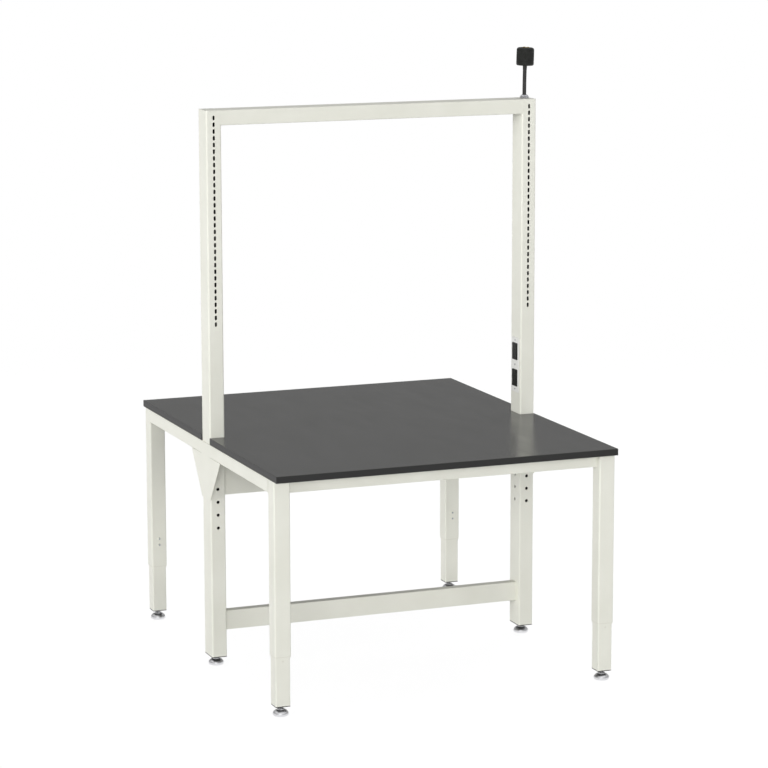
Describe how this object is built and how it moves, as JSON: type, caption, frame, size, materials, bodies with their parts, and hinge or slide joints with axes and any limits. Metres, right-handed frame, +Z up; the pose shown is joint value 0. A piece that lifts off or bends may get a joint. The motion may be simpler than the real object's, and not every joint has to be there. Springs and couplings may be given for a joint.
{
  "type": "lab bench",
  "caption": "Lab bench open on both long sides, with a dark worktop on telescopic corner legs and a tall slotted frame for reagent shelves, with power sockets and a cord.",
  "frame": {"origin": "on the floor, below the middle of the bench", "axes": "+Z up, +X to the right along the upright frame, +Y to the rear working side"},
  "size_m": [1.3724, 1.626, 2.3654],
  "materials": {
    "ivory_paint": "satin powder coat",
    "worktop_resin": "fine-grained, semi-matt",
    "polished_steel": "polished",
    "zinc_plate": "zinc plated",
    "black_plastic": "moulded",
    "cord_rubber": "matt",
    "pale_nylon": "moulded",
    "blade_brass": "bare"
  },
  "bodies": {
    "upright_frame": {"upright_left": "ivory_paint", "upright_right": "ivory_paint", "upright_cap_left": "ivory_paint", "upright_cap_right": "ivory_paint", "upright_plug_left": "black_plastic", "upright_plug_right": "black_plastic", "top_rail": "ivory_paint", "stretcher": "ivory_paint", "socket_upper": "black_plastic", "socket_lower": "black_plastic", "socket_boxes": "zinc_plate", "socket_cover": "ivory_paint", "socket_cover_screws": "zinc_plate", "feed_cable": "cord_rubber", "cord_grip": "zinc_plate", "cord_grip_nut": "zinc_plate", "supply_cord": "cord_rubber", "plug_body": "black_plastic", "plug_blades": "blade_brass"},
    "table": {"worktop": "worktop_resin", "worktop_screws": "zinc_plate", "centre_beam": "ivory_paint", "front_rail": "ivory_paint", "rear_rail": "ivory_paint", "saddle_left": "ivory_paint", "saddle_right": "ivory_paint", "gusset_left": "ivory_paint", "gusset_right": "ivory_paint", "lock_screws": "zinc_plate", "lock_bosses": "ivory_paint", "side_rail_front_left": "ivory_paint", "leg_sleeve_front_left": "ivory_paint", "leg_collar_front_left": "pale_nylon", "side_rail_front_right": "ivory_paint", "leg_sleeve_front_right": "ivory_paint", "leg_collar_front_right": "pale_nylon", "side_rail_rear_left": "ivory_paint", "leg_sleeve_rear_left": "ivory_paint", "leg_collar_rear_left": "pale_nylon", "side_rail_rear_right": "ivory_paint", "leg_sleeve_rear_right": "ivory_paint", "leg_collar_rear_right": "pale_nylon"},
    "inner_leg_front_left": {"inner_leg_front_left": "ivory_paint", "inner_leg_plug_front_left": "black_plastic"},
    "foot_front_left": {"foot_front_left": "polished_steel"},
    "inner_leg_front_right": {"inner_leg_front_right": "ivory_paint", "inner_leg_plug_front_right": "black_plastic"},
    "foot_front_right": {"foot_front_right": "polished_steel"},
    "inner_leg_rear_left": {"inner_leg_rear_left": "ivory_paint", "inner_leg_plug_rear_left": "black_plastic"},
    "foot_rear_left": {"foot_rear_left": "polished_steel"},
    "inner_leg_rear_right": {"inner_leg_rear_right": "ivory_paint", "inner_leg_plug_rear_right": "black_plastic"},
    "foot_rear_right": {"foot_rear_right": "polished_steel"},
    "foot_upright_left": {"foot_upright_left": "polished_steel"},
    "foot_upright_right": {"foot_upright_right": "polished_steel"}
  },
  "joints": [
    {"name": "height_adjust", "type": "slide", "parent": "upright_frame", "child": "table", "axis": [0, 0, 1], "range_m": [-0.1524, 0]},
    {"name": "leg_extension_front_left", "type": "slide", "parent": "table", "child": "inner_leg_front_left", "axis": [0, 0, 1], "range_m": [0, 0.1524]},
    {"name": "foot_level_front_left", "type": "slide", "parent": "inner_leg_front_left", "child": "foot_front_left", "axis": [0, 0, 1], "range_m": [-0.025, 0.01]},
    {"name": "leg_extension_front_right", "type": "slide", "parent": "table", "child": "inner_leg_front_right", "axis": [0, 0, 1], "range_m": [0, 0.1524]},
    {"name": "foot_level_front_right", "type": "slide", "parent": "inner_leg_front_right", "child": "foot_front_right", "axis": [0, 0, 1], "range_m": [-0.025, 0.01]},
    {"name": "leg_extension_rear_left", "type": "slide", "parent": "table", "child": "inner_leg_rear_left", "axis": [0, 0, 1], "range_m": [0, 0.1524]},
    {"name": "foot_level_rear_left", "type": "slide", "parent": "inner_leg_rear_left", "child": "foot_rear_left", "axis": [0, 0, 1], "range_m": [-0.025, 0.01]},
    {"name": "leg_extension_rear_right", "type": "slide", "parent": "table", "child": "inner_leg_rear_right", "axis": [0, 0, 1], "range_m": [0, 0.1524]},
    {"name": "foot_level_rear_right", "type": "slide", "parent": "inner_leg_rear_right", "child": "foot_rear_right", "axis": [0, 0, 1], "range_m": [-0.025, 0.01]},
    {"name": "foot_level_upright_left", "type": "slide", "parent": "upright_frame", "child": "foot_upright_left", "axis": [0, 0, 1], "range_m": [-0.025, 0.01]},
    {"name": "foot_level_upright_right", "type": "slide", "parent": "upright_frame", "child": "foot_upright_right", "axis": [0, 0, 1], "range_m": [-0.025, 0.01]}
  ],
  "couplings": [
    {"joint": "leg_extension_front_left", "follows": "height_adjust", "ratio": -1},
    {"joint": "leg_extension_front_right", "follows": "height_adjust", "ratio": -1},
    {"joint": "leg_extension_rear_left", "follows": "height_adjust", "ratio": -1},
    {"joint": "leg_extension_rear_right", "follows": "height_adjust", "ratio": -1}
  ]
}
